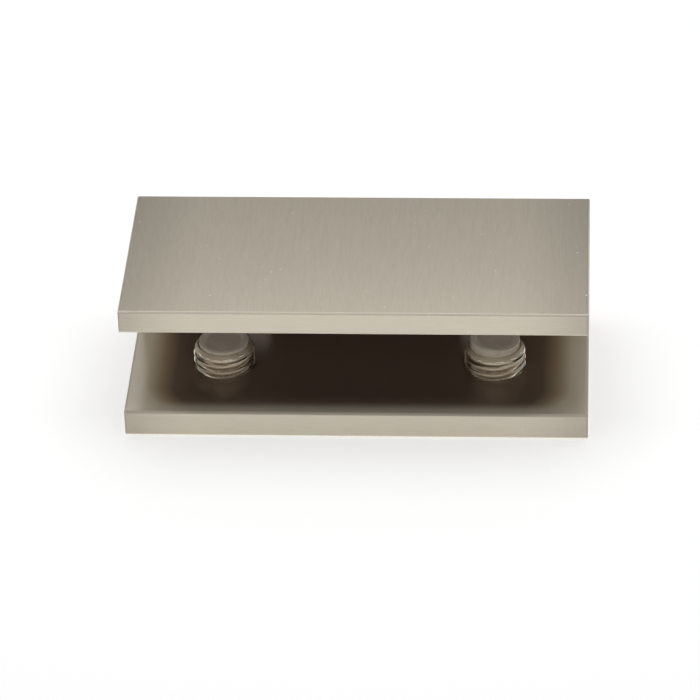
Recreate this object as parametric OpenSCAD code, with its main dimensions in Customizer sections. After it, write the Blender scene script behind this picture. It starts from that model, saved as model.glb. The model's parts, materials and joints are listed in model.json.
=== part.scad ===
// Glass panel clamp: a U-shaped block that is screwed to a wall and grips the edge of a panel.
// Two set screws come up through the lower arm and press nylon tips against the glass.
// Millimetres. X runs along the glass edge, -Y points out of the mouth and +Z is up.
// The origin lies on the wall face, midway between the two wall-fixing holes.

/* [Clamp body] */
// Width of the clamp along the glass edge
clamp_w = 60; // [50:1:100]
// Depth of the clamp from the wall face to the front faces of the arms
clamp_d = 28; // [26:0.5:40]
// Thickness of the top arm
top_arm_t = 3.3; // [2.5:0.1:6]
// Thickness of the lower arm, which carries the tapped holes
lower_arm_t = 3.7; // [3:0.1:6]
// Thickness of the web that stands against the wall
web_t = 3.5; // [3:0.1:5]
// Height of the slot between the two arms
slot_h = 12.2; // [10:0.1:18]
// Radius of every outside edge
edge_r = 0.3; // [0.1:0.05:0.8]
// Radius of the two inside corners at the back of the slot
slot_corner_r = 0.6; // [0.2:0.1:1.5]

/* [Wall-fixing holes] */
// Distance between the two wall-fixing holes
wall_hole_spacing = 30; // [20:0.5:38]
// Diameter of a wall-fixing hole
wall_hole_d = 4.4; // [4:0.1:5]
// Diameter of the countersink at the slot side of a wall-fixing hole
countersink_d = 8.4; // [7:0.1:9]

/* [Set screws] */
// Outside diameter of the thread
thread_d = 8; // [7:0.5:9]
// Rise of the thread in one turn
thread_pitch = 1; // [0.75:0.05:1.25]
// Distance from each end of the clamp to the axis of the nearer set screw
screw_from_end = 12.25; // [9:0.25:16]
// Distance from the front faces of the arms to the axes of the set screws
screw_from_front = 11.7; // [9:0.1:14]
// Height of a screw's upper end above the lower arm
screw_rise = 3.1; // [2:0.1:5]
// Depth of a screw's lower end inside the underside of the lower arm
screw_sunk = 0.3; // [0.1:0.1:1]
// Height of the chamfer round the screw's upper end
upper_chamfer_h = 0.85; // [0.4:0.05:1.2]
// Radial width of the chamfer round the screw's upper end
upper_chamfer_w = 0.5; // [0.3:0.05:0.8]
// Size of the 45-degree chamfer round the screw's lower end
lower_chamfer = 0.5; // [0.2:0.05:0.8]
// Length over which the thread runs out to nothing at the upper end
thread_run_out = 1.2; // [0.8:0.1:2]
// Width across the flats of the hexagon key socket
key_width = 4; // [2.5:0.5:4]
// Depth of the hexagon key socket
key_depth = 2.2; // [1.5:0.1:2.6]
// Height of the drilled cone at the bottom of the key socket
key_cone_h = 0.8; // [0.4:0.1:1]
// Size of the chamfer round the mouth of the key socket
key_mouth_chamfer = 0.25; // [0.1:0.05:0.4]
// Angle that both screws are turned to, in degrees
screw_turn = 126; // [0:1:359]
// Depth of the countersink round each tapped hole in the underside
hole_countersink = 0.4; // [0.2:0.1:0.8]

/* [Nylon tips] */
// Thickness of a nylon tip
tip_t = 1.25; // [1:0.05:2]
// Depth of the cup in the screw's upper end that the tip is pressed into
cup_depth = 0.85; // [0.5:0.05:0.95]
// Thickness of the metal lip round the cup
cup_lip_w = 0.2; // [0.1:0.05:0.5]
// Radius of the tip's upper outside edge
tip_edge_r = 0.2; // [0.1:0.05:0.3]
// Width of the flat rim round the dished top of a tip
tip_rim_w = 0.25; // [0.1:0.05:0.6]
// Width of the slope from the rim down to the floor of the dish
tip_slope_w = 0.6; // [0.3:0.1:1.2]
// Depth of the dish in the top of a tip
tip_dish_depth = 0.15; // [0.05:0.05:0.3]
// Height above its seat at which the lowest edge of the right tip has been left
right_tip_lift = 0.5; // [0:0.05:0.6]
// Lean of the right tip, with its left side up, in degrees
right_tip_lean = 2.5; // [0:0.5:3]

/* [Fits] */
// Radial gap between the thread and its hole
thread_gap = 0.06; // [0.02:0.01:0.1]
// Gap round and under a tip in its cup
tip_gap = 0.05; // [0.03:0.01:0.1]

/* [Hidden] */
$fn = 96;

brushed_nickel = [0.68, 0.65, 0.60];
bright_nickel = [0.80, 0.78, 0.74];
natural_nylon = [0.78, 0.77, 0.74];

// How far a cutting shape runs past the face that it opens
overcut = 1;
// Flat steps in one quarter of a rounded edge
arc_steps = 5;

// Faces of the body
front_y = -clamp_d;
slot_back_y = -web_t;
slot_top_z = slot_h / 2;
slot_floor_z = -slot_h / 2;
top_z = slot_top_z + top_arm_t;
underside_z = slot_floor_z - lower_arm_t;
end_x = clamp_w / 2;

// Places of the set screws
screw_x = end_x - screw_from_end;
screw_y = front_y + screw_from_front;
screw_foot_z = underside_z + screw_sunk;
screw_len = screw_rise + lower_arm_t - screw_sunk;

// Form of the thread: the groove is a standard 60-degree one, with a flat crest and a flat root
thread_sides = 36;
groove_depth = 0.6134 * thread_pitch;
crest_edge = 1 / 16;
root_edge = 3 / 8;
flank_middle = (crest_edge + root_edge) / 2;

// Cup and tip, one inside the other
cup_d = thread_d - 2 * upper_chamfer_w - 2 * cup_lip_w;
tip_r = cup_d / 2 - tip_gap;
tip_seat_z = screw_foot_z + screw_len - cup_depth + tip_gap;

// ---- Outlines with rounded corners ----

function unit(v) = v / norm(v);

// Arc that replaces one right-angled corner of an outline
function rounded_corner(before, corner, after, r) =
    let (
        back = unit(before - corner),
        ahead = unit(after - corner),
        centre = corner + r * (back + ahead)
    )
    [for (step = [0 : arc_steps])
        let (angle = 90 * step / arc_steps)
        centre - r * (ahead * cos(angle) + back * sin(angle))];

// Outline whose corners each have a radius of their own
function rounded_outline(corners, radii) =
    let (n = len(corners))
    [for (i = [0 : n - 1])
        each rounded_corner(corners[(i + n - 1) % n], corners[i], corners[(i + 1) % n], radii[i])];

// Rectangle with all four corners rounded
function rounded_rectangle(low, high, r) =
    rounded_outline([low, [high[0], low[1]], high, [low[0], high[1]]], [r, r, r, r]);

// ---- Clamp body ----

// Side view of the U, drawn with Y across and Z up
module side_outline() {
    corners = [
        [0, underside_z], [0, top_z],
        [front_y, top_z], [front_y, slot_top_z],
        [slot_back_y, slot_top_z], [slot_back_y, slot_floor_z],
        [front_y, slot_floor_z], [front_y, underside_z],
    ];
    radii = [edge_r, edge_r, edge_r, edge_r, slot_corner_r, slot_corner_r, edge_r, edge_r];
    polygon(rounded_outline(corners, radii));
}

// The U as a bar cut to length, with its outer edges broken in all three views
module blank() {
    intersection() {
        rotate([90, 0, 90])
            linear_extrude(height = clamp_w + 2 * overcut, center = true)
                side_outline();
        translate([0, 0, underside_z - overcut])
            linear_extrude(height = top_z - underside_z + 2 * overcut)
                polygon(rounded_rectangle([-end_x, front_y], [end_x, 0], edge_r));
        translate([0, overcut, 0])
            rotate([90, 0, 0])
                linear_extrude(height = clamp_d + 2 * overcut)
                    polygon(rounded_rectangle([-end_x, underside_z], [end_x, top_z], edge_r));
    }
}

// Sliver that rounds a sharp edge: the metal lies towards -X and -Y of the edge at the origin
function edge_sliver() = concat(
    [[0, overcut], [-edge_r, overcut]],
    [for (step = [0 : arc_steps])
        let (angle = 90 - 90 * step / arc_steps)
        edge_r * [cos(angle) - 1, sin(angle) - 1]],
    [[overcut, -edge_r], [overcut, overcut]]
);

// Sliver for the edge at a given point, turned towards the metal by the signs of its two sides
module edge_sliver_at(point, signs) {
    polygon([for (p = edge_sliver()) point + [signs[0] * p[0], signs[1] * p[1]]]);
}

// Rounds the slot's edges at both ends of the clamp
module slot_end_edges() {
    for (side = [-1, 1]) {
        for (arm = [-1, 1])
            translate([0, slot_back_y, 0])
                rotate([90, 0, 0])
                    linear_extrude(height = clamp_d)
                        edge_sliver_at([side * end_x, arm * slot_top_z], [side, -arm]);
        translate([0, 0, slot_floor_z])
            linear_extrude(height = slot_h)
                edge_sliver_at([side * end_x, slot_back_y], [side, -1]);
    }
}

// Hole through the web, countersunk on the slot side
module wall_hole() {
    sink_depth = (countersink_d - wall_hole_d) / 2;
    rotate([90, 0, 0]) {
        translate([0, 0, -overcut])
            cylinder(h = web_t + 2 * overcut, d = wall_hole_d);
        translate([0, 0, web_t - sink_depth])
            cylinder(h = sink_depth, d1 = wall_hole_d, d2 = countersink_d);
        translate([0, 0, web_t])
            cylinder(h = overcut, d = countersink_d);
    }
}

// Tapped hole through the lower arm, drawn as a plain bore just outside the thread
module screw_hole() {
    hole_d = thread_d + 2 * thread_gap;
    translate([0, 0, underside_z - overcut])
        cylinder(h = lower_arm_t + 2 * overcut, d = hole_d);
    translate([0, 0, underside_z - overcut])
        cylinder(h = overcut, d = hole_d + 2 * hole_countersink);
    translate([0, 0, underside_z])
        cylinder(h = hole_countersink, d1 = hole_d + 2 * hole_countersink, d2 = hole_d);
}

module clamp_body() {
    color(brushed_nickel)
        difference() {
            blank();
            slot_end_edges();
            for (side = [-1, 1]) {
                translate([side * wall_hole_spacing / 2, 0, 0])
                    wall_hole();
                translate([side * screw_x, screw_y, 0])
                    screw_hole();
            }
        }
}

// ---- Set screws ----

// Share of the groove's depth at a place along the thread, counted in turns from a crest
function groove_share(turns) =
    let (from_crest = abs(turns - round(turns)))
    max(0, min(1, (from_crest - crest_edge) / (root_edge - crest_edge)));

// Radius of the screw at a height above its lower end and an angle about its axis
function screw_radius(z, angle) =
    let (
        from_top = screw_len - z,
        depth = groove_depth * min(1, from_top / thread_run_out),
        thread = thread_d / 2 - depth * groove_share(z / thread_pitch - angle / 360),
        upper_cone = thread_d / 2 - upper_chamfer_w * (1 - from_top / upper_chamfer_h),
        lower_cone = thread_d / 2 - lower_chamfer + z
    )
    min(thread, upper_cone, lower_cone);

// The surface is a net: columns run up the screw, and rows climb round it along the profile's corners
profile_corners = [crest_edge, flank_middle, root_edge, 1 - root_edge, 1 - flank_middle, 1 - crest_edge];
rows_per_turn = len(profile_corners);
lowest_row = -rows_per_turn - 1;
highest_row = rows_per_turn * ceil(screw_len / thread_pitch);
row_count = highest_row - lowest_row + 1;

function row_height(row, column) =
    let (whole_turns = floor(row / rows_per_turn))
    thread_pitch
        * (whole_turns + profile_corners[row - whole_turns * rows_per_turn] + column / thread_sides);

// In each column, the rows that meet the screw's lower and upper end faces
foot_rows = [for (column = [0 : thread_sides - 1])
    max([for (row = [lowest_row : 0]) if (row_height(row, column) <= 0) row])];
head_rows = [for (column = [0 : thread_sides - 1])
    min([for (row = [0 : highest_row]) if (row_height(row, column) >= screw_len) row])];

thread_points = [
    for (column = [0 : thread_sides - 1])
        for (row = [lowest_row : highest_row])
            let (
                z = max(0, min(screw_len, row_height(row, column))),
                angle = 360 * column / thread_sides,
                r = screw_radius(z, angle)
            )
            [r * cos(angle), r * sin(angle), z]
];

// Number of the point at a row and column; after a whole turn a row carries on one pitch higher
function net_point(row, column) =
    column == thread_sides
        ? net_point(row + rows_per_turn, 0)
        : column * row_count + max(foot_rows[column], min(head_rows[column], row)) - lowest_row;

function is_triangle(f) = f[0] != f[1] && f[1] != f[2] && f[2] != f[0];

side_faces = [
    for (column = [0 : thread_sides - 1])
        for (row = [lowest_row : highest_row - 1])
            let (
                a = net_point(row, column),
                b = net_point(row, column + 1),
                c = net_point(row + 1, column + 1),
                d = net_point(row + 1, column)
            )
            for (f = [[a, d, c], [a, c, b]])
                if (is_triangle(f)) f
];
foot_face = [for (column = [0 : thread_sides - 1]) net_point(lowest_row, column)];
head_face = [for (column = [thread_sides - 1 : -1 : 0]) net_point(highest_row, column)];

// Threaded rod with both ends chamfered
module threaded_rod() {
    polyhedron(
        points = thread_points,
        faces = concat(side_faces, [foot_face, head_face]),
        convexity = 10
    );
}

// Hexagon socket in the screw's lower end, with a chamfered mouth and a drilled cone at the bottom
module key_socket() {
    corner_r = key_width / 2 / cos(30);
    translate([0, 0, -overcut])
        cylinder(h = key_depth + overcut, r = corner_r, $fn = 6);
    translate([0, 0, key_depth])
        cylinder(h = key_cone_h, r1 = key_width / 2, r2 = 0);
    cylinder(h = key_mouth_chamfer, r1 = corner_r + key_mouth_chamfer / 2, r2 = corner_r - key_mouth_chamfer / 2);
}

// Shallow cup in the screw's upper end
module tip_cup() {
    translate([0, 0, screw_len - cup_depth])
        cylinder(h = cup_depth + overcut, d = cup_d);
}

module set_screw(side) {
    color(bright_nickel)
        translate([side * screw_x, screw_y, screw_foot_z])
            rotate([0, 0, screw_turn])
                difference() {
                    threaded_rod();
                    key_socket();
                    tip_cup();
                }
}

module left_set_screw() {
    set_screw(-1);
}

module right_set_screw() {
    set_screw(1);
}

// ---- Nylon tips ----

// Half section of a tip: a disc with a rounded upper edge and a dished top
module tip_section() {
    dish_r = tip_r - tip_edge_r - tip_rim_w;
    upper_edge = [for (step = [0 : arc_steps])
        let (angle = 90 * step / arc_steps)
        [tip_r, tip_t] + tip_edge_r * [cos(angle) - 1, sin(angle) - 1]];
    slope = [for (step = [0 : arc_steps])
        let (angle = 180 * step / arc_steps)
        [dish_r - tip_slope_w * step / arc_steps, tip_t - tip_dish_depth * (1 - cos(angle)) / 2]];
    polygon(concat([[0, 0], [tip_r, 0]], upper_edge, slope, [[0, tip_t - tip_dish_depth]]));
}

module tip(side, lift, lean) {
    color(natural_nylon)
        translate([side * screw_x, screw_y, tip_seat_z + lift + tip_r * sin(lean)])
            rotate([0, lean, 0])
                rotate_extrude()
                    tip_section();
}

module left_tip() {
    tip(-1, 0, 0);
}

module right_tip() {
    tip(1, right_tip_lift, right_tip_lean);
}

clamp_body();
left_set_screw();
right_set_screw();
left_tip();
right_tip();
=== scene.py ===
import json
import math

import bpy
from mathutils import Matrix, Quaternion, Vector


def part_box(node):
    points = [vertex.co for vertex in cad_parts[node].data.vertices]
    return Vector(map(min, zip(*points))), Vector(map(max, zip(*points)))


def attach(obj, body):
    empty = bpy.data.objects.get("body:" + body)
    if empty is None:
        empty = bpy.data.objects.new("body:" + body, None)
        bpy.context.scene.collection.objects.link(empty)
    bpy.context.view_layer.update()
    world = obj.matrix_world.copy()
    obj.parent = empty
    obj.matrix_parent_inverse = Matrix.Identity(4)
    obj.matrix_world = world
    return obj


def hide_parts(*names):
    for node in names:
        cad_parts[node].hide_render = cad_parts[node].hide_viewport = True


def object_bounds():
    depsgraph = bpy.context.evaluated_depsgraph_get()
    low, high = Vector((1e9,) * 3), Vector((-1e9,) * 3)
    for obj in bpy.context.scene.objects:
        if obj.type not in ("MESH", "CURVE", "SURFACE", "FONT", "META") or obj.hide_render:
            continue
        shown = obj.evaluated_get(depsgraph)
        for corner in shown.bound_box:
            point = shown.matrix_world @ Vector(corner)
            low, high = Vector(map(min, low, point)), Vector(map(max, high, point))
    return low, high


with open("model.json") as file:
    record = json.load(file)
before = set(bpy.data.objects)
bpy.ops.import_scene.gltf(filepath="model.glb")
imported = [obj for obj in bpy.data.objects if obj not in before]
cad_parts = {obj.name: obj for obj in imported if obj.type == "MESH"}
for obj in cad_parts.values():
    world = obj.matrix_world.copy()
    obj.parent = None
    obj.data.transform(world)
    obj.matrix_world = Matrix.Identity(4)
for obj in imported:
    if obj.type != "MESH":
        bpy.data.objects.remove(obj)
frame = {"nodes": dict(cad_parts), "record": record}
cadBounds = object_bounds()
nodes = frame["nodes"]
mm = 0.001


def deselectAll():
    bpy.ops.object.select_all(action="DESELECT")
    bpy.context.view_layer.objects.active = None


def newMaterial(name, colour):
    material = bpy.data.materials.new(name)
    material.use_nodes = True
    material.diffuse_color = (*colour, 1)
    tree = material.node_tree
    tree.nodes.clear()
    output = tree.nodes.new("ShaderNodeOutputMaterial")
    return material, tree, output


# One node with its inputs filled in: a socket is linked, anything else is set as the value
def addNode(tree, kind, settings=None, **inputs):
    node = tree.nodes.new("ShaderNode" + kind)
    for key, value in (settings or {}).items():
        setattr(node, key, value)
    for key, value in inputs.items():
        socket = node.inputs[int(key[1:])] if key[1:].isdigit() else node.inputs[key.replace("_", " ")]
        if isinstance(value, bpy.types.NodeSocket):
            tree.links.new(value, socket)
        else:
            socket.default_value = value
    return node


def calc(tree, operation, a, b=0.0, clamp=False):
    return addNode(tree, "Math", {"operation": operation, "use_clamp": clamp}, i0=a, i1=b).outputs[0]


def times(tree, a, b):
    return calc(tree, "MULTIPLY", a, b)


def isOver(tree, value, limit):
    return calc(tree, "GREATER_THAN", value, limit)


def isUnder(tree, value, limit):
    return calc(tree, "LESS_THAN", value, limit)


def opposite(tree, share):
    return calc(tree, "SUBTRACT", 1.0, share)


# Moves a value from one range to another, with soft ends
def ramp(tree, value, low, high, toLow=0.0, toHigh=1.0, kind="SMOOTHSTEP"):
    return addNode(
        tree, "MapRange", {"interpolation_type": kind},
        Value=value, From_Min=low, From_Max=high, To_Min=toLow, To_Max=toHigh,
    ).outputs["Result"]


def mixColour(tree, amount, first, second, blend="MIX"):
    node = tree.nodes.new("ShaderNodeMix")
    node.data_type = "RGBA"
    node.blend_type = blend
    for index, value in ((0, amount), (6, first), (7, second)):
        if isinstance(value, bpy.types.NodeSocket):
            tree.links.new(value, node.inputs[index])
        else:
            node.inputs[index].default_value = value
    return node.outputs[2]


# A colour that changes from one stop to the next: each stop is a value and its colour
def colourStops(tree, value, stops):
    colour = (*stops[0][1], 1)
    for before, after in zip(stops, stops[1:]):
        share = ramp(tree, value, before[0], after[0], kind="LINEAR")
        colour = mixColour(tree, share, colour, (*after[1], 1))
    return colour


# Noise drawn out into streaks: cycles per millimetre along X, Y and Z
def streaks(tree, place, cycles, detail, roughness, offset=(0, 0, 0)):
    scale = [count / mm for count in cycles]
    scaled = addNode(tree, "Mapping", Vector=place, Scale=scale, Location=offset).outputs[0]
    noise = addNode(tree, "TexNoise", Vector=scaled, Scale=1.0, Detail=detail, Roughness=roughness)
    return noise.outputs[0]


# Noise that is alike in all directions; its pattern is cycles per millimetre, detail and roughness
def clouds(tree, place, pattern):
    cycles, detail, roughness = pattern
    return streaks(tree, place, (cycles, cycles, cycles), detail, roughness)


def mountPlace(name):
    for mount in frame["record"]["mounts"]:
        if mount["name"] == name:
            return Vector(mount["pos_m"])


# Distance from the axis of the nearer set screw; the two stand alike on either side of x = 0
def fromScrewAxis(tree, place):
    low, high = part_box("right_set_screw")
    parts = addNode(tree, "SeparateXYZ", Vector=place).outputs
    sideways = calc(tree, "SUBTRACT", calc(tree, "ABSOLUTE", parts[0]), (low[0] + high[0]) / 2)
    forwards = calc(tree, "SUBTRACT", parts[1], (low[1] + high[1]) / 2)
    flat = addNode(tree, "CombineXYZ", X=sideways, Y=forwards).outputs[0]
    return addNode(tree, "VectorMath", {"operation": "LENGTH"}, i0=flat).outputs["Value"]


# satin nickel of the body, brushed in straight lines
brushedNickel = {
    "colour": (0.62, 0.567, 0.466),
    "dark streaks": (0.585, 0.533, 0.436),
    "streak contrast": (0.35, 0.60),
    "fine streaks": (5.5, 0.40, 3.0, 0.6),      # cycles per mm across and along, detail, roughness
    "broad streaks": (1.1, 0.10, 2.0, 0.5),
    "broad shift": 7.3,             # sets the broad streaks apart from the fine ones
    "broad share": 0.3,             # of the shade; the fine streaks have the rest
    "broad height": 0.8,            # beside 1.0 for the fine streaks
    "line depth": 0.0028 * mm,
    "clouds": (0.12, 2.0, 0.5),
    "end shade": 0.82,              # painted shade: the two ends are a little darker than the middle
    "end shade from": 20 * mm,      # away from the middle
    "front end shade": 0.92,        # painted shade too: on the front faces the ends are a little darker still
    "front end depth": 4 * mm,      # in from each end
    "dust colour": (0.76, 0.70, 0.60),
    "dust cycles": 1.6,
    "dust limits": (0.84, 0.86),
    "outer roughness": 0.30,
    "broad roughness": 0.06,        # more where the broad streaks and the clouds are strong
    "cloud roughness": 0.04,
    "anisotropy": 0.7,
    "facing": 0.7,                  # a face looks along an axis if its normal does so by this much
    # the slot is dull, and painted shade makes it dark inside and lighter towards its open ends:
    # distances from an end
    "painted slot shade": (
        (2.2 * mm, (0.64, 0.57, 0.46)),
        (4.2 * mm, (0.40, 0.312, 0.205)),
        (6.0 * mm, (0.222, 0.165, 0.122)),
    ),
    "slot metal": 0.35,
    "slot roughness": 0.22,
    "slot margin": 0.01 * mm,
    "end margin": 0.02 * mm,
    "back margin": 0.5 * mm,        # the slot's finish stops this far from the wall face
    "hollow depth": 5.0 * mm,       # this near the wall face, the slot's corners and holes aren't edges
    "mouth": (0.5 * mm, 2.8 * mm),              # painted light: a lighter strip at the mouth fades out between these depths
    # painted light at the mouth, lighter towards the open ends: distances from an end
    "painted mouth light": (
        (3.0 * mm, (0.65, 0.59, 0.485)),
        (7.0 * mm, (0.60, 0.55, 0.45)),
    ),
    "mouth corner": (6.0 * mm, 2.4 * mm),       # depth to which the painted light of the open ends reaches in further; how far
    "rounded": 0.995,               # it is a rounded edge if its normal reaches this along no axis
    "edge colour": (0.76, 0.70, 0.585),         # painted sheen: lighter where it slants upwards, and dull there
    "edge slant": ((0.1, 0.4), (0.8, 0.97)),
    "edge metal": 0.15,
    "edge roughness": 0.55,
    # painted highlight: rounded edges facing down are lighter, as a brighter mirror of the floor
    "painted lower edge highlight": (0.92, 0.85, 0.72),
    "lower edge slant": (-0.3, -0.05),
    # painted shade: the lip is the lower arm's edge along the slot, darker under the upper arm and
    # lighter towards the open ends as well
    "painted lip shade": (
        (3.0 * mm, (0.58, 0.525, 0.43)),
        (7.0 * mm, (0.48, 0.43, 0.35)),
    ),
    "lip height": 0.35 * mm,
    "lip slant": (-0.2, 0.2),
}


# Where each point of the body lies and which way it faces: distances, and shares from 0 to 1
def findPlaces(tree, coordinate):
    settings = brushedNickel
    normal = addNode(tree, "SeparateXYZ", Vector=coordinate.outputs["Normal"]).outputs
    parts = addNode(tree, "SeparateXYZ", Vector=coordinate.outputs["Object"]).outputs
    end, wallFace = cadBounds[1][0], cadBounds[1][1]
    fromMiddle = calc(tree, "ABSOLUTE", parts[0])
    fromFront = calc(tree, "SUBTRACT", parts[1], cadBounds[0][1])
    # the painted light of the open ends reaches further in near the mouth
    cornerDepth, cornerReach = settings["mouth corner"]
    reach = ramp(tree, fromFront, 0.0, cornerDepth, cornerReach, 0.0)
    fromEnd = calc(tree, "SUBTRACT", calc(tree, "SUBTRACT", end, fromMiddle), reach)

    slotTop = mountPlace("glass_seat").z
    height = calc(tree, "ABSOLUTE", parts[2])
    clearOfBack = isUnder(tree, parts[1], wallFace - settings["back margin"])
    clearOfEnds = isUnder(tree, fromMiddle, end - settings["end margin"])
    betweenArms = isUnder(tree, height, slotTop + settings["slot margin"])
    insideSlot = times(tree, betweenArms, times(tree, clearOfBack, clearOfEnds))
    nearSlot = isUnder(tree, height, slotTop + settings["lip height"])
    nearWall = isOver(tree, parts[1], wallFace - settings["hollow depth"])
    solidEdge = opposite(tree, times(tree, insideSlot, nearWall))

    turned = [calc(tree, "ABSOLUTE", part) for part in normal]
    squarest = calc(tree, "MAXIMUM", turned[0], calc(tree, "MAXIMUM", turned[1], turned[2]))
    endFace, frontFace, flatFace = [isOver(tree, part, settings["facing"]) for part in turned]
    outerFlat = times(tree, flatFace, opposite(tree, insideSlot))
    facingUp = ramp(tree, normal[2], *settings["lip slant"])
    slantFrom, slantTo = settings["edge slant"]
    rising = ramp(tree, normal[2], *slantFrom)
    return {
        "from middle": fromMiddle,
        "from front": fromFront,
        "from end": fromEnd,
        "inside slot": insideSlot,
        "front face": frontFace,
        "front to back": calc(tree, "MAXIMUM", outerFlat, endFace),
        "rounded edge": times(tree, isUnder(tree, squarest, settings["rounded"]), solidEdge),
        "slanted": times(tree, rising, ramp(tree, normal[2], *slantTo, 1.0, 0.0)),
        "facing down": ramp(tree, normal[2], *settings["lower edge slant"], 1.0, 0.0),
        "lip": times(tree, times(tree, nearSlot, facingUp), clearOfBack),
    }


# The outer broad faces and the ends are brushed front to back, all others from side to side
def brushLines(tree, place, where, pattern, shift=0.0):
    across, along, detail, roughness = pattern
    lengthways = streaks(tree, place, (across, along, across), detail, roughness, (shift, 0, 0))
    sideways = streaks(tree, place, (along, across, across), detail, roughness, (0, shift, 0))
    return addNode(tree, "Mix", Factor=where["front to back"], A=sideways, B=lengthways).outputs[0]


# Outer faces: streaks, painted shade that darkens the ends, and tiny pale specks where dust has settled
def colourOutside(tree, place, where, fine, broad):
    settings = brushedNickel
    end = cadBounds[1][0]
    broadShare = settings["broad share"]
    shade = calc(tree, "ADD", times(tree, fine, 1 - broadShare), times(tree, broad, broadShare))
    colour = mixColour(
        tree, ramp(tree, shade, *settings["streak contrast"]),
        (*settings["dark streaks"], 1), (*settings["colour"], 1),
    )
    fromMiddle = where["from middle"]
    # painted shade: darker towards both ends, and more so on the front faces
    ends = ramp(tree, fromMiddle, settings["end shade from"], end, 1.0, settings["end shade"])
    colour = mixColour(tree, 1.0, colour, ends, "MULTIPLY")
    frontFrom = end - settings["front end depth"]
    frontEnds = ramp(tree, fromMiddle, frontFrom, end, 1.0, settings["front end shade"])
    frontColour = mixColour(tree, 1.0, colour, frontEnds, "MULTIPLY")
    colour = mixColour(tree, where["front face"], colour, frontColour)
    dust = addNode(tree, "TexNoise", Vector=place, Scale=settings["dust cycles"] / mm, Detail=0.0)
    specks = ramp(tree, dust.outputs[0], *settings["dust limits"])
    return mixColour(tree, specks, colour, (*settings["dust colour"], 1))


# painted shade: the slot darkens inwards from its mouth and from its open ends
def colourInsideWithPaintedShade(tree, where):
    settings = brushedNickel
    return mixColour(
        tree, ramp(tree, where["from front"], *settings["mouth"], 1.0, 0.0),
        colourStops(tree, where["from end"], settings["painted slot shade"]),
        colourStops(tree, where["from end"], settings["painted mouth light"]),
    )


# painted sheen on edges that slant upwards, a painted highlight on those facing down, and painted shade
# on the lip
def colourEdgesWithPaintedLight(tree, where, outer):
    settings = brushedNickel
    colour = mixColour(tree, where["facing down"], outer, (*settings["painted lower edge highlight"], 1))
    colour = mixColour(tree, where["slanted"], colour, (*settings["edge colour"], 1))
    lip = colourStops(tree, where["from end"], settings["painted lip shade"])
    return mixColour(tree, where["lip"], colour, lip)


def bodyRoughness(tree, where, broad, cloud):
    settings = brushedNickel
    middle = (settings["broad roughness"] + settings["cloud roughness"]) / 2
    plain, slot = settings["outer roughness"], settings["slot roughness"]
    rough = calc(tree, "ADD", plain - middle, times(tree, where["inside slot"], slot - plain))
    rough = calc(tree, "ADD", rough, times(tree, broad, settings["broad roughness"]))
    rough = calc(tree, "ADD", rough, times(tree, cloud, settings["cloud roughness"]))
    return calc(tree, "MAXIMUM", rough, times(tree, where["rounded edge"], settings["edge roughness"]))


# Full metal on the outside, and duller in the slot, on rounded edges that slant upwards and along the
# lip
def bodyMetal(tree, where):
    settings = brushedNickel
    dullEdge = times(tree, where["rounded edge"], calc(tree, "MAXIMUM", where["slanted"], where["lip"]))
    slotDullness = times(tree, where["inside slot"], 1.0 - settings["slot metal"])
    edgeDullness = times(tree, dullEdge, 1.0 - settings["edge metal"])
    return opposite(tree, calc(tree, "MAXIMUM", slotDullness, edgeDullness))


def makeBrushedNickel():
    settings = brushedNickel
    material, tree, output = newMaterial("brushedNickel", settings["colour"])
    coordinate = addNode(tree, "TexCoord")
    place = coordinate.outputs["Object"]
    where = findPlaces(tree, coordinate)
    fine = brushLines(tree, place, where, settings["fine streaks"])
    broad = brushLines(tree, place, where, settings["broad streaks"], settings["broad shift"])
    cloud = clouds(tree, place, settings["clouds"])
    outer = colourOutside(tree, place, where, fine, broad)
    colour = mixColour(tree, where["inside slot"], outer, colourInsideWithPaintedShade(tree, where))
    colour = mixColour(tree, where["rounded edge"], colour, colourEdgesWithPaintedLight(tree, where, outer))
    lines = calc(tree, "ADD", fine, times(tree, broad, settings["broad height"]))
    bump = addNode(tree, "Bump", Strength=1.0, Distance=settings["line depth"], Height=lines).outputs[0]
    # the shader is rougher along its tangent, so the tangent runs across the lines
    frontToBack = where["front to back"]
    across = addNode(tree, "CombineXYZ", X=frontToBack, Y=opposite(tree, frontToBack)).outputs[0]
    surface = addNode(
        tree, "BsdfPrincipled", Base_Color=colour, Metallic=bodyMetal(tree, where),
        Roughness=bodyRoughness(tree, where, broad, cloud),
        Anisotropic=settings["anisotropy"], Normal=bump, Tangent=across,
    )
    tree.links.new(surface.outputs[0], output.inputs[0])
    return material


# bright nickel of the set screws, duller in the thread's grooves and on the upper chamfer, with painted
# shade in the grooves
brightNickel = {
    "colour": (0.90, 0.835, 0.72),
    "clouds": (0.9, 5.0, 3.0, 0.6),     # cycles per mm across and along the screw, detail, roughness
    "cloud contrast": (0.35, 0.65),
    "cloud shade": 0.84,
    "cloud roughness": 0.14,
    "grain": (3.0, 9.0, 2.0, 0.5),
    "grain depth": 0.004 * mm,
    "roughness": 0.13,                  # where the clouds are weakest
    # painted shade: the thread's grooves are darker
    "painted groove shade": (0.80, 0.72, 0.59),
    "groove radii": (3.50 * mm, 3.92 * mm),     # where it is dullest and where it is bright
    "groove roughness": 0.16,           # on top of the roughness elsewhere
    "chamfer colour": (0.46, 0.39, 0.29),
    "chamfer slope": (0.40, 0.60),      # its normal points up by more than one and less than the other
    "chamfer roughness": 0.25,          # also on top
}


def screwNoise(tree, place, pattern):
    across, along, detail, roughness = pattern
    return streaks(tree, place, (across, across, along), detail, roughness)


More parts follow.
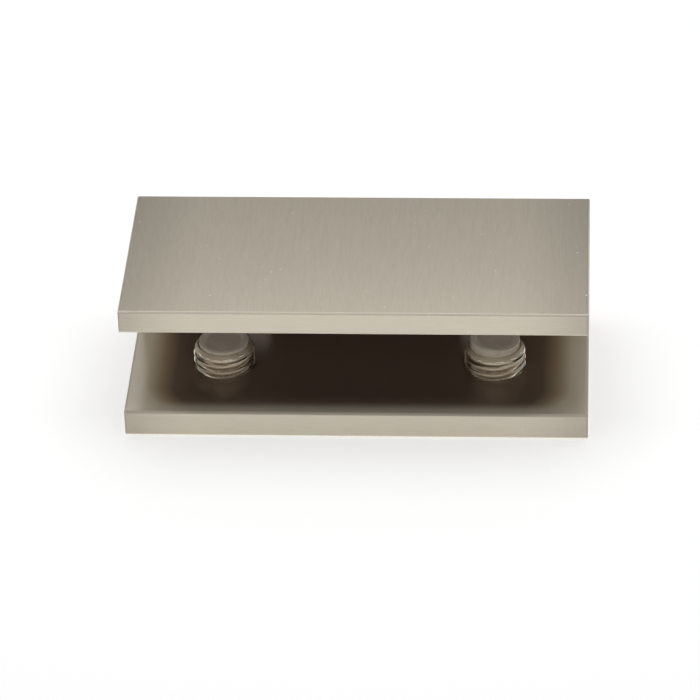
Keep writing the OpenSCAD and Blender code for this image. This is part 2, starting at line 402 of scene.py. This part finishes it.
def makeBrightNickel():
    settings = brightNickel
    material, tree, output = newMaterial("brightNickel", settings["colour"])
    coordinate = addNode(tree, "TexCoord")
    place = coordinate.outputs["Object"]
    cloud = screwNoise(tree, place, settings["clouds"])
    grain = screwNoise(tree, place, settings["grain"])
    shaded = [settings["cloud shade"] * part for part in settings["colour"]]
    patchy = ramp(tree, cloud, *settings["cloud contrast"])
    colour = mixColour(tree, patchy, (*shaded, 1), (*settings["colour"], 1))
    # painted shade: darker towards the roots of the thread
    crest = ramp(tree, fromScrewAxis(tree, place), *settings["groove radii"])
    colour = mixColour(tree, crest, (*settings["painted groove shade"], 1), colour)
    upwards = addNode(tree, "SeparateXYZ", Vector=coordinate.outputs["Normal"]).outputs[2]
    least, most = settings["chamfer slope"]
    chamfer = times(tree, isOver(tree, upwards, least), isUnder(tree, upwards, most))
    colour = mixColour(tree, chamfer, colour, (*settings["chamfer colour"], 1))
    rough = calc(tree, "ADD", settings["roughness"], times(tree, cloud, settings["cloud roughness"]))
    rough = calc(tree, "ADD", rough, times(tree, chamfer, settings["chamfer roughness"]))
    rough = calc(tree, "ADD", rough, times(tree, opposite(tree, crest), settings["groove roughness"]))
    bump = addNode(tree, "Bump", Strength=1.0, Distance=settings["grain depth"], Height=grain).outputs[0]
    surface = addNode(
        tree, "BsdfPrincipled", Base_Color=colour, Metallic=1.0, Roughness=rough, Normal=bump,
    )
    tree.links.new(surface.outputs[0], output.inputs[0])
    return material


# milky nylon of the tips, with painted light: lightest in the dish, which little light reaches, a little
# darker in its middle, darkest on the side, which faces the light
naturalNylon = {
    "side colour": (0.66, 0.575, 0.46),
    "painted dish light": (1.0, 0.92, 0.79),
    "painted middle light": (0.96, 0.88, 0.765),
    "middle radii": (1.0 * mm, 2.7 * mm),       # over these the middle turns into the dish
    "rim radii": (3.02 * mm, 3.12 * mm),        # and over these the dish into the side
    "clouds": (0.6, 3.0, 0.55),
    "cloud contrast": (0.35, 0.65),
    "cloud shade": 0.92,
    "cloud roughness": 0.1,
    "roughness": 0.33,              # where the clouds are weakest
    "grain": (5.0, 2.0, 0.5),
    "grain depth": 0.01 * mm,
    "grain strength": 0.4,
    "refraction": 1.53,
    "spread": 0.5,                  # share of the light that spreads inside
    "spread depth": 1.2 * mm,
    "spread by colour": (1.0, 1.0, 0.95),
}


def makeNaturalNylon():
    settings = naturalNylon
    material, tree, output = newMaterial("naturalNylon", settings["side colour"])
    place = addNode(tree, "TexCoord").outputs["Object"]
    cloud = clouds(tree, place, settings["clouds"])
    radius = fromScrewAxis(tree, place)
    # painted light: the dish is lighter than the side, which faces the light
    colour = mixColour(
        tree, ramp(tree, radius, *settings["middle radii"]),
        (*settings["painted middle light"], 1), (*settings["painted dish light"], 1),
    )
    outside = ramp(tree, radius, *settings["rim radii"])
    colour = mixColour(tree, outside, colour, (*settings["side colour"], 1))
    patchy = ramp(tree, cloud, *settings["cloud contrast"], settings["cloud shade"], 1.0)
    colour = mixColour(tree, 1.0, colour, patchy, "MULTIPLY")
    rough = calc(tree, "ADD", settings["roughness"], times(tree, cloud, settings["cloud roughness"]))
    bump = addNode(
        tree, "Bump", Strength=settings["grain strength"], Distance=settings["grain depth"],
        Height=clouds(tree, place, settings["grain"]),
    ).outputs[0]
    surface = addNode(
        tree, "BsdfPrincipled", Base_Color=colour, Roughness=rough, IOR=settings["refraction"],
        Subsurface_Weight=settings["spread"], Subsurface_Radius=settings["spread by colour"],
        Subsurface_Scale=settings["spread depth"], Normal=bump,
    )
    tree.links.new(surface.outputs[0], output.inputs[0])
    return material


def dressNode(name, material):
    node = nodes[name]
    node.data.materials.clear()
    node.data.materials.append(material)


satin = makeBrushedNickel()
bright = makeBrightNickel()
nylon = makeNaturalNylon()
dressNode("clamp_body", satin)
for side in ("left", "right"):
    dressNode(side + "_set_screw", bright)
    dressNode(side + "_tip", nylon)
print("materials done")


# set screws with a finely stepped thread
fineScrew = {
    "thread": 8.0 * mm,
    "pitch": 1.0 * mm,
    "groove": 0.6134 * mm,          # depth of the thread
    "crest edge": 0.0625,           # in turns from the middle of a crest
    "root edge": 0.375,
    "rounding": 0.05,               # how far each edge is softened, in turns
    "flank steps": (0.25, 0.5, 0.75),
    "run-out": 1.2 * mm,
    "upper chamfer height": 0.85 * mm,
    "upper chamfer width": 0.5 * mm,
    "lower chamfer": 0.5 * mm,
    "cup depth": 0.85 * mm,
    "cup lip": 0.2 * mm,
    "key width": 4.0 * mm,
    "key depth": 2.2 * mm,
    "key point": 0.8 * mm,
    "key chamfer": 0.25 * mm,
    "turned": 126,                  # degrees about its axis, for where the thread starts
    "steps": 96,                    # to one turn of the thread
    "cone sides": 48,
    "smooth angle": 38,
    "end margin": 0.01 * mm,        # a face this near the upper end, and facing up, is part of it
    "end facing": 0.9,
    "cut margin": 0.0001 * mm,
    "thread join": 0.002 * mm,      # points nearer than this are joined
    "last join": 0.001 * mm,
    "cutter extra": 0.5 * mm,       # the key's cutters stand out this far below
    "point inset": 0.003 * mm,      # the drill point starts just inside the flats
    "point overlap": 0.001 * mm,
}


def makeActive(piece):
    deselectAll()
    piece.select_set(True)
    bpy.context.view_layer.objects.active = piece


def finishModifiers(piece):
    bpy.context.view_layer.objects.active = piece
    for modifier in list(piece.modifiers):
        bpy.ops.object.modifier_apply(modifier=modifier.name)


def joinPoints(distance):
    bpy.ops.mesh.select_all(action="SELECT")
    bpy.ops.mesh.remove_doubles(threshold=distance)


# A point of the thread's outline, some turns up from the middle of a crest
def threadPoint(turns):
    settings = fineScrew
    crest, root = settings["crest edge"], settings["root edge"]
    fromCrest = abs(turns - round(turns))
    grooveShare = max(0.0, min(1.0, (fromCrest - crest) / (root - crest)))
    radius = settings["thread"] / 2 - settings["groove"] * grooveShare
    return Vector((radius, 0, (turns - 1) * settings["pitch"]))


# One pitch of the thread's outline, drawn out point by point from a single vertex
def drawThreadOutline():
    settings = fineScrew
    soft = settings["rounding"]
    crest, root = settings["crest edge"], settings["root edge"]
    flank = [crest + (root - crest) * share for share in settings["flank steps"]]
    half = [crest - soft, crest + soft] + flank + [root - soft, root + soft, 0.5]
    upperHalf = [1 - turns for turns in reversed(half[:-1])]
    points = [threadPoint(turns) for turns in [0.0] + half + upperHalf + [1.0]]
    deselectAll()
    bpy.ops.mesh.primitive_plane_add(size=settings["pitch"], location=(0, 0, 0))
    outline = bpy.context.object
    bpy.ops.object.mode_set(mode="EDIT")
    bpy.ops.mesh.select_all(action="SELECT")
    bpy.ops.mesh.merge(type="CENTER")
    bpy.ops.transform.translate(value=points[0])
    for before, after in zip(points, points[1:]):
        bpy.ops.mesh.extrude_region_move(TRANSFORM_OT_translate={"value": after - before})
    bpy.ops.object.mode_set(mode="OBJECT")
    return outline


# Cuts all of the mesh at one height, and takes away what is below or above it if asked to
def bisectAt(height, clear=None):
    bpy.ops.mesh.select_all(action="SELECT")
    bpy.ops.mesh.bisect(
        plane_co=(0, 0, height), plane_no=(0, 0, 1), use_fill=clear is not None,
        clear_inner=clear == "below", clear_outer=clear == "above", threshold=fineScrew["cut margin"],
    )


# The thread is swept up round the axis and cut to length
def sweepThread(length):
    settings = fineScrew
    piece = drawThreadOutline()
    sweep = piece.modifiers.new("sweep", "SCREW")
    sweep.axis = "Z"
    sweep.angle = math.radians(360)
    sweep.screw_offset = settings["pitch"]
    sweep.iterations = math.ceil(length / settings["pitch"]) + 1
    sweep.steps = settings["steps"]
    sweep.render_steps = settings["steps"]
    sweep.use_merge_vertices = False
    finishModifiers(piece)
    bpy.ops.object.mode_set(mode="EDIT")
    joinPoints(settings["thread join"])
    bisectAt(settings["lower chamfer"])
    bisectAt(length - settings["upper chamfer height"])
    bisectAt(0.0, clear="below")
    bisectAt(length, clear="above")
    bpy.ops.object.mode_set(mode="OBJECT")
    return piece


# The groove runs out towards the upper end, and both ends are chamfered
def turnDownEnds(piece, length):
    settings = fineScrew
    outside = settings["thread"] / 2
    width = settings["upper chamfer width"]
    height = settings["upper chamfer height"]
    for vertex in piece.data.vertices:
        radius = math.hypot(vertex.co.x, vertex.co.y)
        fromTop = length - vertex.co.z
        depth = (outside - radius) * min(1.0, fromTop / settings["run-out"])
        upperCone = outside - width * (1 - fromTop / height)
        lowerCone = outside - settings["lower chamfer"] + vertex.co.z
        factor = min(outside - depth, upperCone, lowerCone) / radius
        vertex.co.x *= factor
        vertex.co.y *= factor


# The cup for the nylon tip is inset and pressed down from the upper end
def pressCup(piece, length):
    settings = fineScrew
    upperEnd = length - settings["end margin"]
    for polygon in piece.data.polygons:
        polygon.select = polygon.center.z > upperEnd and polygon.normal.z > settings["end facing"]
    bpy.context.view_layer.objects.active = piece
    bpy.ops.object.mode_set(mode="EDIT")
    bpy.ops.mesh.inset(thickness=settings["cup lip"])
    bpy.ops.mesh.extrude_region_move(TRANSFORM_OT_translate={"value": (0, 0, -settings["cup depth"])})
    bpy.ops.object.mode_set(mode="OBJECT")


# The hexagon socket is cut with a six-sided prism, a drill point and a chamfer cone
def cutKeySocket(piece):
    settings = fineScrew
    flatRadius = settings["key width"] / 2
    cornerRadius = flatRadius / math.cos(math.radians(30))
    extra = settings["cutter extra"]
    cutters = []
    deselectAll()
    depth = settings["key depth"] + extra
    bpy.ops.mesh.primitive_cylinder_add(
        vertices=6, radius=cornerRadius, depth=depth, location=(0, 0, depth / 2 - extra),
        rotation=(0, 0, math.radians(90)),
    )
    cutters.append(bpy.context.object)
    point = settings["key point"]
    pointMiddle = settings["key depth"] + point / 2 - settings["point overlap"]
    bpy.ops.mesh.primitive_cone_add(
        vertices=settings["cone sides"], radius1=flatRadius - settings["point inset"], radius2=0,
        depth=point, location=(0, 0, pointMiddle),
    )
    cutters.append(bpy.context.object)
    chamfer = settings["key chamfer"]
    innerRadius = cornerRadius - chamfer / 2
    bpy.ops.mesh.primitive_cone_add(
        vertices=settings["cone sides"], radius1=innerRadius + chamfer + extra, radius2=innerRadius,
        depth=extra + chamfer, location=(0, 0, (chamfer - extra) / 2),
    )
    cutters.append(bpy.context.object)
    for cutter in cutters:
        cut = piece.modifiers.new("cut", "BOOLEAN")
        cut.operation = "DIFFERENCE"
        cut.solver = "EXACT"
        cut.object = cutter
    deselectAll()
    finishModifiers(piece)
    for cutter in cutters:
        bpy.data.objects.remove(cutter)


def placeScrew(piece, side):
    low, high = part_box(side + "_set_screw")
    piece.name = side + "Screw"
    piece.data.name = side + "Screw"
    piece.location = ((low[0] + high[0]) / 2, (low[1] + high[1]) / 2, low[2])
    piece.rotation_euler = (0, 0, math.radians(fineScrew["turned"]))
    makeActive(piece)
    bpy.ops.object.transform_apply(location=True, rotation=True, scale=True)
    bpy.ops.object.shade_smooth_by_angle(angle=math.radians(fineScrew["smooth angle"]))
    piece.data.materials.clear()
    piece.data.materials.append(bright)
    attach(piece, side + "_screw")
    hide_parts(side + "_set_screw")


def makeScrews():
    low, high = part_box("left_set_screw")
    length = high[2] - low[2]
    left = sweepThread(length)
    turnDownEnds(left, length)
    pressCup(left, length)
    cutKeySocket(left)
    makeActive(left)
    bpy.ops.object.mode_set(mode="EDIT")
    joinPoints(fineScrew["last join"])
    bpy.ops.mesh.normals_make_consistent(inside=False)
    bpy.ops.object.mode_set(mode="OBJECT")
    right = left.copy()
    right.data = left.data.copy()
    bpy.context.scene.collection.objects.link(right)
    placeScrew(left, "left")
    placeScrew(right, "right")


makeScrews()
print("screws done")


floorSettings = {
    "size": 6.0,
    "colour": (0.80, 0.80, 0.80),
    "gap": 0.02 * mm,       # below the clamp, so that the underside and the floor stay apart
    "glow": 0.45,           # added to what the camera and the metal see, so that the floor is white
}


# Lit from above and glowing a little, and clear from below
def makeFloor():
    settings = floorSettings
    deselectAll()
    height = cadBounds[0][2] - settings["gap"]
    bpy.ops.mesh.primitive_plane_add(size=settings["size"], location=(0, 0, height))
    floor = bpy.context.object
    floor.name = "floor"
    bpy.ops.object.transform_apply(location=True)
    material, tree, output = newMaterial("paleFloor", settings["colour"])
    lit = addNode(tree, "BsdfDiffuse", Color=(*settings["colour"], 1)).outputs[0]
    rays = addNode(tree, "LightPath").outputs
    seen = calc(tree, "ADD", rays["Is Camera Ray"], rays["Is Glossy Ray"])
    seen = calc(tree, "ADD", seen, rays["Is Transmission Ray"], clamp=True)
    strength = times(tree, seen, settings["glow"])
    glow = addNode(tree, "Emission", Color=(1, 1, 1, 1), Strength=strength).outputs[0]
    both = addNode(tree, "AddShader", i0=lit, i1=glow).outputs[0]
    fromBelow = addNode(tree, "NewGeometry").outputs["Backfacing"]
    clear = addNode(tree, "BsdfTransparent").outputs[0]
    shown = addNode(tree, "MixShader", i0=fromBelow, i1=both, i2=clear)
    tree.links.new(shown.outputs[0], output.inputs[0])
    floor.data.materials.append(material)


makeFloor()
print("floor done")


cameraSettings = {
    "azimuth": 3.967,      # degrees, from straight in front towards +X
    "elevation": 33.892,
    "roll": -1.764,
    "distance": 0.5575,
    "aim": (-1.198 * mm, -16.722 * mm, -3.819 * mm),
    "lens": 219.09,
    "nearest": 0.01,
    "farthest": 20,
}


def makeCamera():
    settings = cameraSettings
    azimuth = math.radians(settings["azimuth"])
    elevation = math.radians(settings["elevation"])
    back = Vector((
        math.sin(azimuth) * math.cos(elevation),
        -math.cos(azimuth) * math.cos(elevation),
        math.sin(elevation),
    ))
    data = bpy.data.cameras.new("camera")
    data.lens = settings["lens"]
    data.clip_start = settings["nearest"]
    data.clip_end = settings["farthest"]
    camera = bpy.data.objects.new("camera", data)
    bpy.context.scene.collection.objects.link(camera)
    camera.location = Vector(settings["aim"]) + back * settings["distance"]
    turn = (-back).to_track_quat("-Z", "Y") @ Quaternion((0, 0, 1), math.radians(settings["roll"]))
    camera.rotation_euler = turn.to_euler()
    bpy.context.scene.camera = camera


makeCamera()
print("camera done")


lightSettings = {
    "softbox": {
        "place": (0, -0.02, 0.30),
        "size": (0.60, 0.20),
        "watts": 0.680,
        "target": (0, -0.01, 0),
    },
    "backSoftbox": {
        "place": (0, 0.13, 0.30),
        "size": (0.30, 0.10),
        "watts": 0.170,
        "target": (0, 0.05, 0),
    },
    "backCard": {
        "place": (0, 0.25, 0.25),
        "size": (0.16, 0.08),
        "watts": 0.045,
        "target": (0, -0.014, 0.01),
    },
}
# A step is a height of view, as the sine of its angle, and the brightness there. A bearing is how far
# the view turns to the back (1) or to the front (-1), where the wall begins and where it is full.
roomSettings = {
    "horizon": {
        "steps": ((0.17, 1.0), (0.23, 0.0)),
    },
    "back wall": {
        "bearing": (0.4, 0.9),
        "steps": ((0.42, 0.0), (0.48, 0.565), (0.59, 0.565), (0.65, 0.37), (0.82, 0.37), (0.88, 0.0)),
    },
    "front wall": {
        "bearing": (-0.4, -0.9),
        "steps": ((0.17, 0.0), (0.23, 0.80), (0.32, 0.80), (0.38, 0.42), (0.67, 0.42), (0.73, 0.0)),
    },
}


def makeArea(name, place, size, watts, target):
    data = bpy.data.lights.new(name, "AREA")
    data.shape = "RECTANGLE"
    data.size = size[0]
    data.size_y = size[1]
    data.energy = watts
    lamp = bpy.data.objects.new(name, data)
    bpy.context.scene.collection.objects.link(lamp)
    lamp.location = place
    lamp.rotation_euler = (Vector(target) - Vector(place)).to_track_quat("-Z", "Y").to_euler()
    lamp.visible_camera = False


# Brightness at a height of view, in soft steps from each level to the next
def roomLevel(tree, height, steps):
    level = steps[0][1]
    for (low, before), (high, after) in zip(steps, steps[1:]):
        level = calc(tree, "ADD", level, ramp(tree, height, low, high, 0.0, after - before))
    return level


# A white horizon all round, and grey walls behind the clamp and on the viewer's side
def makeWorld():
    world = bpy.data.worlds.new("studio")
    world.use_nodes = True
    tree = world.node_tree
    tree.nodes.clear()
    output = tree.nodes.new("ShaderNodeOutputWorld")
    direction = addNode(tree, "TexCoord").outputs["Generated"]
    parts = addNode(tree, "SeparateXYZ", Vector=direction).outputs
    flat = addNode(tree, "CombineXYZ", X=parts[0], Y=parts[1]).outputs[0]
    bearing = addNode(tree, "VectorMath", {"operation": "NORMALIZE"}, i0=flat).outputs[0]
    backwards = addNode(tree, "SeparateXYZ", Vector=bearing).outputs[1]
    brightness = 0.0
    for part in roomSettings.values():
        level = roomLevel(tree, parts[2], part["steps"])
        if "bearing" in part:
            level = times(tree, level, ramp(tree, backwards, *part["bearing"]))
        brightness = calc(tree, "ADD", brightness, level)
    background = addNode(tree, "Background", Color=(1, 1, 1, 1), Strength=brightness)
    tree.links.new(background.outputs[0], output.inputs[0])
    bpy.context.scene.world = world


for name, settings in lightSettings.items():
    makeArea(name, **settings)
makeWorld()
bpy.context.scene.view_settings.view_transform = "Standard"
print("light done")
